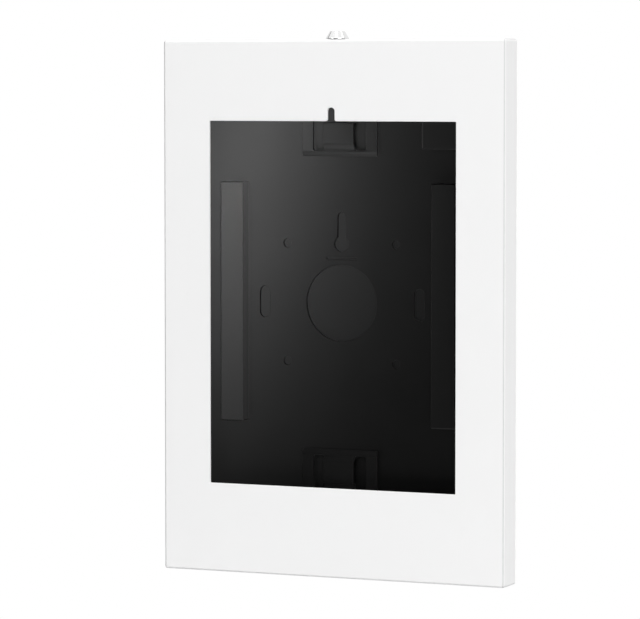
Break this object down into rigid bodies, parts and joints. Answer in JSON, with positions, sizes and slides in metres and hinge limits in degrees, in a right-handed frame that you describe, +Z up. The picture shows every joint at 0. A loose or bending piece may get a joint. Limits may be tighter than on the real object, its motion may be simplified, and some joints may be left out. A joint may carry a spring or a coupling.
{
  "type": "tablet wall mount",
  "caption": "Lockable wall mount for a flat tablet: white folded steel cover with a window over a black slotted back plate with sliding clamps, foam rests and a cam lock.",
  "frame": {"origin": "centre of the square hole pattern, on the wall plane, which is the rear face of the rear pad", "axes": "+X to the right seen from the front, +Z up, the front faces -Y and the wall lies towards +Y"},
  "size_m": [0.234, 0.02, 0.3443],
  "materials": {
    "white_powder_coat": "smooth semi-gloss powder coat",
    "black_powder_coat": "fine satin powder coat",
    "black_foam": "matt closed-cell foam",
    "polished_chrome": "polished plating",
    "zinc_plated_steel": "bright zinc plating",
    "black_zinc_steel": "black zinc plating"
  },
  "bodies": {
    "mount": {"front_cover": "white_powder_coat", "back_plate": "black_powder_coat", "rear_pad": "black_foam", "left_foam_strip": "black_foam", "right_foam_strip": "black_foam", "corner_foam_block": "black_foam", "left_cover_liner": "black_foam", "right_cover_liner": "black_foam", "top_cover_liner": "black_foam", "bottom_cover_liner": "black_foam", "guide_nut_top_left": "black_zinc_steel", "guide_nut_top_right": "black_zinc_steel", "guide_nut_bottom_left": "black_zinc_steel", "guide_nut_bottom_right": "black_zinc_steel", "clamp_washer_top_left": "black_zinc_steel", "clamp_washer_top_right": "black_zinc_steel", "clamp_washer_bottom_left": "black_zinc_steel", "clamp_washer_bottom_right": "black_zinc_steel", "clamp_screw_top_left": "black_zinc_steel", "clamp_screw_top_right": "black_zinc_steel", "clamp_screw_bottom_left": "black_zinc_steel", "clamp_screw_bottom_right": "black_zinc_steel", "lock_barrel": "polished_chrome", "lock_washer": "zinc_plated_steel", "lock_nut": "zinc_plated_steel"},
    "upper_clamp": {"top_clamp": "black_powder_coat", "top_clamp_pad": "black_foam"},
    "lower_clamp": {"bottom_clamp": "black_powder_coat", "bottom_clamp_pad": "black_foam"},
    "lock_rotor": {"lock_plug": "polished_chrome", "lock_cam": "zinc_plated_steel", "cam_screw": "zinc_plated_steel"}
  },
  "joints": [
    {"name": "top_clamp_slide", "type": "slide", "parent": "mount", "child": "upper_clamp", "axis": [0, 0, 1], "range_m": [-0.005, 0.003]},
    {"name": "bottom_clamp_slide", "type": "slide", "parent": "mount", "child": "lower_clamp", "axis": [0, 0, -1], "range_m": [-0.005, 0.003]},
    {"name": "lock_turn", "type": "hinge", "parent": "mount", "child": "lock_rotor", "pos_m": [0, -0.01, 0.1508], "axis": [0, 0, -1], "range_deg": [0, 90]}
  ]
}
